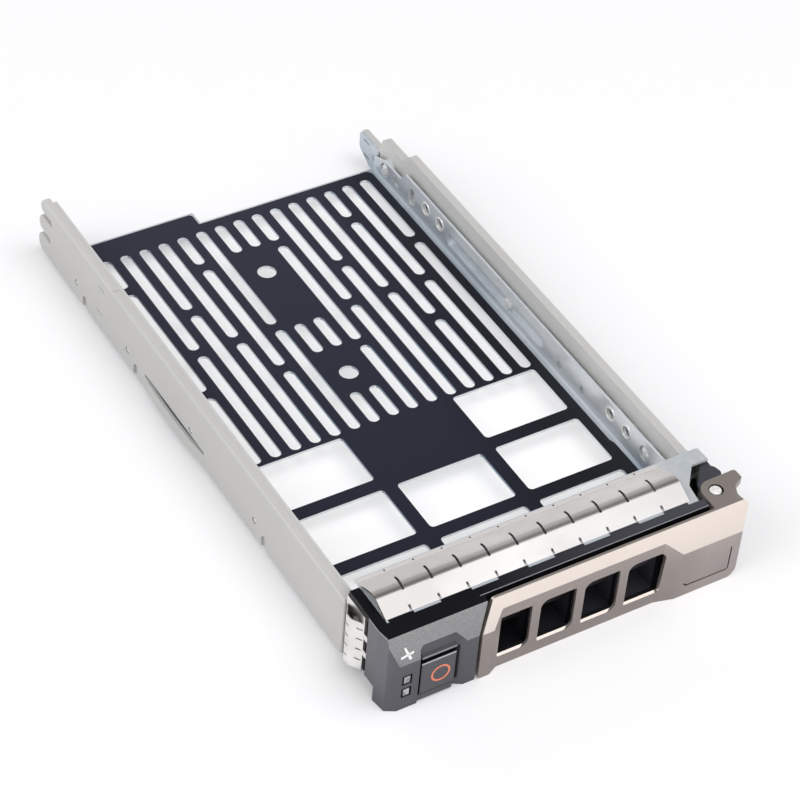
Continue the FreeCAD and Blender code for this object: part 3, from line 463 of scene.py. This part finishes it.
FINISHES = {
    # One finish for each material slot, and two for pieces that are added here.
    "zinc_sheet": zinc_sheet(),
    "black_film": black_film(),
    "rail_metal": rail_metal(),
    "rivet_metal": rivet_metal("rivet_metal"),
    "black_plastic": moulded("black_plastic", (0.038, 0.038, 0.047), (0.060, 0.060, 0.073), 0.36, 1900,
                             0.000008, 0.2, tones=body_tones),
    "grey_plastic": moulded("grey_plastic", (0.094, 0.093, 0.108), (0.145, 0.143, 0.160), 0.40, 2600,
                            0.00002, 0.5, 0.2, cover_tones),
    "button_plastic": moulded("button_plastic", (0.085, 0.084, 0.092), (0.125, 0.124, 0.135), 0.34, 1600,
                              0.000008, tones=button_tones),
    "orange_plastic": orange_plastic(),
    "spring_wire": rivet_metal("spring_wire"),
    "catch_plastic": moulded("catch_plastic", (0.02, 0.02, 0.022), (0.035, 0.035, 0.038), 0.4, 1200,
                             0.00001),
    "handle_paint": handle_paint(),
    "spring_steel": spring_steel(),
    "clear_plastic": clear_plastic(),
    "peened_steel": peened_steel(),
    "icon_print": icon_print(),
}


def dress(obj, finish):
    """Gives an object one finish, and smooth shading up to its sharp edges."""
    obj.data.materials.clear()
    obj.data.materials.append(FINISHES[finish])
    obj.data.shade_smooth()
    obj.data.set_sharp_from_angle(angle=SHARP_ANGLE)


def linked(name, data):
    obj = bpy.data.objects.new(name, data)
    bpy.context.scene.collection.objects.link(obj)
    return obj


def softened(node, width):
    """Makes a copy of a CAD node with its sharp edges broken, which stands for it."""
    mesh = frame["nodes"][node].data.copy()
    bm = bmesh.new()
    bm.from_mesh(mesh)
    bmesh.ops.remove_doubles(bm, verts=bm.verts, dist=2e-6)
    bmesh.ops.dissolve_limit(bm, angle_limit=math.radians(0.6), verts=bm.verts, edges=bm.edges)
    bm.to_mesh(mesh)
    bm.free()
    mesh.name = "soft_" + node
    piece = linked("soft_" + node, mesh)
    bevel = piece.modifiers.new("broken_edges", "BEVEL")
    bevel.width = width
    bevel.segments = 2
    bevel.limit_method = "ANGLE"
    bevel.angle_limit = math.radians(35)
    bevel.harden_normals = True
    bevel.use_clamp_overlap = True
    dress(piece, SLOT_OF[node])
    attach(piece, BODY_OF[node])
    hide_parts(node)


for name, obj in frame["nodes"].items():
    dress(obj, SLOT_OF[name])

# The width of the bevel on each node whose edges show.
BROKEN_EDGES = {
    "handle": 0.25 * MM,
    "bezel_cover": 0.25 * MM,
    "release_button": 0.15 * MM,
    "bezel_body": 0.15 * MM,
}
for name, width in BROKEN_EDGES.items():
    softened(name, width)


def spot(x, y, z):
    """A place given in millimetres."""
    return Vector((x, y, z)) * MM


def finished(name, bm, body, slot, finish=None):
    """Turns a bmesh into a piece that rides on a body and takes its finish from a slot."""
    bmesh.ops.remove_doubles(bm, verts=bm.verts, dist=1e-6)
    bmesh.ops.recalc_face_normals(bm, faces=bm.faces)
    mesh = bpy.data.meshes.new(name)
    bm.to_mesh(mesh)
    bm.free()
    piece = linked(name, mesh)
    dress(piece, finish or slot)
    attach(piece, body)
    return piece


def turned(bm, centre, axis, profile, steps=24):
    """Spins a profile of (radius, height) points in millimetres about an axis through the centre."""
    side = axis.orthogonal().normalized()
    verts = [bm.verts.new(centre + (side * r + axis * h) * MM) for r, h in profile]
    edges = [bm.edges.new(pair) for pair in zip(verts, verts[1:])]
    if profile[0][0] > 0:
        edges.append(bm.edges.new((verts[-1], verts[0])))
    bmesh.ops.spin(bm, geom=verts + edges, cent=centre, axis=axis, dvec=(0, 0, 0), angle=math.tau,
                   steps=steps, use_merge=True)


def dome(bm, centre, axis, radius, height, root=0.2):
    """A rounded head on a short shank that reaches down from the centre by its root."""
    angles = (0.0, 0.4, 0.8, 1.15, 1.4, math.pi / 2)
    rise = [(math.sin(a) * radius, math.cos(a) * height) for a in angles]
    turned(bm, centre, axis, rise + [(radius, -root), (0, -root)])


def block(bm, centre, size):
    out = bmesh.ops.create_cube(bm, size=1.0)
    bmesh.ops.scale(bm, vec=size, verts=out["verts"])
    bmesh.ops.translate(bm, vec=centre, verts=out["verts"])


def thickened(bm, corners, reach):
    """A flat face through the corners, extruded by the vector reach."""
    face = bm.faces.new([bm.verts.new(corner) for corner in corners])
    out = bmesh.ops.extrude_face_region(bm, geom=[face])
    moved = [v for v in out["geom"] if isinstance(v, bmesh.types.BMVert)]
    bmesh.ops.translate(bm, verts=moved, vec=reach)


def coiled(bm, centre, axis, radius, wire, turns, length, steps=20):
    """A round wire wound round an axis from its centre, with closed ends."""
    side = axis.orthogonal().normalized()
    out = bmesh.ops.create_circle(bm, segments=8, radius=wire * MM, cap_ends=True)
    turn = Matrix((side, axis, side.cross(axis))).transposed().to_4x4()
    start = Matrix.Translation(centre + side * radius * MM)
    bmesh.ops.transform(bm, verts=out["verts"], matrix=start @ turn)
    faces = list({face for vert in out["verts"] for face in vert.link_faces})
    geom = out["verts"] + faces + list({edge for vert in out["verts"] for edge in vert.link_edges})
    count = round(turns * steps)
    bmesh.ops.spin(bm, geom=geom, cent=centre, axis=axis, dvec=axis * length * MM / count,
                   angle=turns * math.tau, steps=count)


# In millimetres: rivets and marks by y and z, screw holes by y, the handle's windows by left and right.
RIVET_SPOTS = ((40.7, 12.4), (112.8, 11.3), (184.2, 10.4))
RAIL_MARKS = ((181.5, 7.0), (148.1, 7.2), (108.7, 8.9), (71.1, 7.3))
DRIVE_HOLES = (49.7, 57.8, 151.3, 159.4)
HOLE_HEIGHT = 13.0
WINDOWS = ((-20.9, -12.6), (-8.5, 1.2), (5.3, 15.0), (19.1, 29.4))
WALL_FACE = 51.0
RIVET_FACE = 51.6
RAIL_FACE = 55.0


def pin_head():
    # The pin's upper end, spread a little by the hammer and a little off its axis.
    bm = bmesh.new()
    profile = [(0, 0.46), (0.7, 0.5), (1.3, 0.46), (1.65, 0.34), (1.75, 0.1), (1.75, -0.1), (0, -0.1)]
    turned(bm, PIVOT + spot(-0.09, 0.12, 26.0), UP, profile, steps=32)
    finished("pin_head", bm, "carrier", "rivet_metal", "peened_steel")


def rivet_domes():
    bm = bmesh.new()
    for hand in (-1, 1):
        for y, z in RIVET_SPOTS:
            dome(bm, spot(hand * RIVET_FACE, y, z), Vector((-hand, 0, 0)), 1.85, 0.5)
    finished("rivet_domes", bm, "carrier", "rivet_metal")


def hole_collars():
    # The drawn rims of the drive's screw holes.
    profile = [(1.72, 0.02), (1.9, 0.16), (2.25, 0.16), (2.45, -0.1), (2.09, -0.1), (2.09, -0.9),
               (1.72, -0.9)]
    bm = bmesh.new()
    for hand in (-1, 1):
        for y in DRIVE_HOLES:
            turned(bm, spot(hand * WALL_FACE, y, HOLE_HEIGHT), Vector((-hand, 0, 0)), profile)
    finished("hole_collars", bm, "carrier", "rivet_metal")


def rail_marks():
    # Small pressed studs on the left rail.
    bm = bmesh.new()
    for y, z in RAIL_MARKS:
        dome(bm, spot(-RAIL_FACE, y, z), Vector((-1, 0, 0)), 0.95, 0.5)
    finished("rail_marks", bm, "carrier", "rivet_metal")


def window_sills():
    # The sloping lower edge of each window in the handle's grip.
    bm = bmesh.new()
    front = 1.52
    rear = 2.3
    foot = 3.65
    rise = 0.45
    for left, right in WINDOWS:
        section = [spot(left, y, z) for y, z in ((front, foot), (rear, foot + rise), (rear, foot))]
        thickened(bm, section, spot(right - left, 0, 0))
    finished("window_sills", bm, "front_handle", "handle_paint")


def icon_mark():
    # A plain mark of two crossing strokes printed on the cover's slope. Each stroke runs between two
    # ends, which are given by x, z and half the stroke's width there.
    strokes = (((-50.4, 22.35, 0.28), (-48.8, 18.3, 0.42)),
               ((-51.7, 19.5, 0.32), (-47.8, 20.2, 0.32)))
    lift = 0.03
    depth = 0.05
    bm = bmesh.new()
    for (x0, z0, w0), (x1, z1, w1) in strokes:
        side = Vector((z1 - z0, x0 - x1)).normalized()
        corners = [(x0 + side.x * w0, z0 + side.y * w0), (x0 - side.x * w0, z0 - side.y * w0),
                   (x1 - side.x * w1, z1 - side.y * w1), (x1 + side.x * w1, z1 + side.y * w1)]
        on_slope = [spot(x, 0.3 + (z - 17.0) * 2.1 / 9.5 - lift, z) for x, z in corners]
        thickened(bm, on_slope, spot(0, depth, 0))
    finished("icon_mark", bm, "carrier", "clear_plastic", "icon_print")


def button_coil():
    # The wound spring behind the button.
    x = -39.3
    z = 8.45
    bm = bmesh.new()
    coiled(bm, spot(x, 4.3, z), REARWARD, radius=2.3, wire=0.25, turns=6, length=6.6)
    coil = finished("button_coil", bm, "carrier", "spring_wire")
    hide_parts("button_spring")
    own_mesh(coil)


def hinge_coil():
    # The wound spring round the hinge's barrel, with its lower leg.
    foot = 4.8
    leg_x = -2.88
    leg_rear = 3.6
    bm = bmesh.new()
    coiled(bm, PIVOT + spot(0, 0, foot), UP, radius=2.9, wire=0.3, turns=4, length=2.6, steps=28)
    dome(bm, PIVOT + spot(leg_x, leg_rear, foot), REARWARD, 0.28, 0.1, root=leg_rear + 0.1)
    coil = finished("hinge_coil", bm, "carrier", "spring_wire")
    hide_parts("handle_spring")


def lip_ledge():
    # The body's lip reaches under the strip's front edge, over the bracket's.
    bm = bmesh.new()
    block(bm, spot(-5.2, 8.08, 26.36), spot(92.6, 1.05, 0.14))
    finished("lip_ledge", bm, "carrier", "black_plastic")


def painted_screw_recess_shade():
    # Painted shade: dark crosses laid in the heads of the screws under the bezel, for the shade in their
    # recesses.
    bm = bmesh.new()
    for x in (-32.0, 32.0):
        for length, width in ((2.4, 0.5), (0.5, 2.4)):
            block(bm, spot(x, 15.0, 0.4), spot(length, width, 0.06))
    finished("painted_screw_recess_shade", bm, "carrier", "catch_plastic")


for build in (pin_head, rivet_domes, hole_collars, rail_marks, window_sills, icon_mark, button_coil,
              hinge_coil, lip_ledge, painted_screw_recess_shade):
    build()


def camera():
    # The photograph's view: a long lens high at the front left.
    right = Vector((0.85985, -0.50650, 0.06415))
    up = Vector((0.3060, 0.6119, 0.7294))
    forward = Vector((0.4087, 0.6075, -0.6811))
    place = Vector((-318.08, -384.37, 544.31)) * MM
    data = bpy.data.cameras.new("camera")
    data.sensor_width = 36.0
    data.lens = 124.57
    data.clip_start = 0.01
    data.clip_end = 20
    obj = linked("camera", data)
    turn = Matrix((right, up, -forward)).transposed().to_4x4()
    obj.matrix_world = Matrix.Translation(place) @ turn
    bpy.context.scene.camera = obj


def lamp(name, place, aim, size, power, mirrored=True):
    """A rectangular lamp; unless mirrored, reflections don't see it."""
    data = bpy.data.lights.new(name, "AREA")
    data.shape = "RECTANGLE"
    data.size = size[0]
    data.size_y = size[1]
    data.energy = power
    obj = linked(name, data)
    obj.location = place
    obj.rotation_euler = (Vector(aim) - Vector(place)).to_track_quat("-Z", "Y").to_euler()
    obj.visible_glossy = mirrored


def paper():
    # White paper: shaded for the part's bounce light, nearly burnt out for the lens and in reflections.
    f = Finish("paper")
    path = f.node("ShaderNodeLightPath", {})
    seen = path["Is Camera Ray"].at_least(path["Is Glossy Ray"])
    # Painted light: a pool of glow under the tray, where light falls through its windows and slots,
    # burns the paper out there too.
    x, y, _ = f.axes()
    pool_x = 0.004
    pool_y = 0.110
    pool_half_width = 0.0522
    pool_half_length = 0.084
    edge = 150
    painted_light_pool = f.maths("MINIMUM", (pool_half_width - abs(x - pool_x)) * edge,
                   (pool_half_length - abs(y - pool_y)) * edge)
    shade = f.blend(painted_light_pool, (0.67, 0.67, 0.68), (0.40, 0.40, 0.405))
    painted_pool_glow = f.blend(painted_light_pool, (0.29, 0.29, 0.291), (1.0, 1.0, 1.0))
    return f.done(Base_Color=f.blend(seen, (0.70, 0.70, 0.70), shade), Roughness=0.9,
                  Specular_IOR_Level=0.0, Emission_Color=f.blend(seen, (0, 0, 0), painted_pool_glow),
                  Emission_Strength=0.55)


def painted_reflection_grey():
    # A dull card with a faint cool glow: a painted reflection, seen only in reflections of the front
    # faces.
    f = Finish("painted_reflection_grey")
    return f.done(Base_Color=(0.10, 0.10, 0.11), Roughness=1.0, Specular_IOR_Level=0.0,
                  Emission_Color=(0.90, 0.93, 1.0), Emission_Strength=0.17)


def flat_sheet(name, x0, x1, y0, y1, z, material):
    """A level sheet of the stage between two corners."""
    mesh = bpy.data.meshes.new(name)
    bm = bmesh.new()
    bmesh.ops.create_grid(bm, x_segments=1, y_segments=1, size=0.5)
    for v in bm.verts:
        v.co = (x0 + (v.co.x + 0.5) * (x1 - x0), y0 + (v.co.y + 0.5) * (y1 - y0), z)
    bm.to_mesh(mesh)
    bm.free()
    mesh.materials.append(material)
    obj = linked(name, mesh)
    return obj


def sky():
    # White for the lens; for light, bright near the horizon and overhead, dark at the rear right.
    world = bpy.data.worlds.new("studio")
    bpy.context.scene.world = world
    world.use_nodes = True
    tree = world.node_tree
    background = tree.nodes["Background"]
    path = tree.nodes.new("ShaderNodeLightPath")
    where = tree.nodes.new("ShaderNodeTexCoord")
    split = tree.nodes.new("ShaderNodeSeparateXYZ")
    height = tree.nodes.new("ShaderNodeValToRGB")
    horizon, overhead = height.color_ramp.elements
    horizon.position = 0.05
    horizon.color = (0.92, 0.91, 0.91, 1)
    overhead.position = 0.6
    overhead.color = (0.50, 0.50, 0.51, 1)
    towards = tree.nodes.new("ShaderNodeVectorMath")
    towards.operation = "DOT_PRODUCT"
    towards.inputs[1].default_value = (0.41, 0.61, 0.68)
    patch = tree.nodes.new("ShaderNodeMapRange")
    patch.inputs["From Min"].default_value = 0.80
    patch.inputs["From Max"].default_value = 0.95
    dark = tree.nodes.new("ShaderNodeMix")
    dark.data_type = "RGBA"
    dark.inputs[7].default_value = (0.16, 0.155, 0.155, 1)
    mix = tree.nodes.new("ShaderNodeMix")
    mix.data_type = "RGBA"
    mix.inputs[7].default_value = (1, 1, 1, 1)
    tree.links.new(where.outputs["Generated"], split.inputs[0])
    tree.links.new(where.outputs["Generated"], towards.inputs[0])
    tree.links.new(split.outputs["Z"], height.inputs[0])
    tree.links.new(towards.outputs["Value"], patch.inputs["Value"])
    tree.links.new(patch.outputs["Result"], dark.inputs[0])
    tree.links.new(height.outputs["Color"], dark.inputs[6])
    tree.links.new(dark.outputs[2], mix.inputs[6])
    tree.links.new(path.outputs["Is Camera Ray"], mix.inputs[0])
    tree.links.new(mix.outputs[2], background.inputs["Color"])
    background.inputs["Strength"].default_value = 1.0


def studio():
    reach = 0.9
    flat_sheet("floor", -reach, reach, -reach, reach, 0.0, paper())
    sky()
    # A grey card lies before the front faces, where only their reflections see it: a painted reflection
    # that darkens them.
    painted_reflection_card = flat_sheet("painted_reflection_card", -0.06, 0.10, -0.027, 0.02, 0.00005, painted_reflection_grey())
    for ray in ("camera", "diffuse", "shadow", "transmission", "volume_scatter"):
        setattr(painted_reflection_card, "visible_" + ray, False)
    lamp("softbox", (0.1, -0.75, 1.25), (0.05, 0.1, 0), (2.6, 1.7), 9.5)
    lamp("key", (0.35, -0.3, 1.6), (0, 0.1, 0), (1.2, 1.2), 11.5, mirrored=False)
    lamp("left", (-1.2, 0.05, 1.1), (0, 0.1, 0), (0.9, 0.9), 8.0)
    lamp("rear", (0.2, 1.3, 0.8), (0, 0.1, 0), (1.2, 0.5), 2.5, mirrored=False)


camera()
studio()
bpy.context.scene.view_settings.view_transform = "Standard"
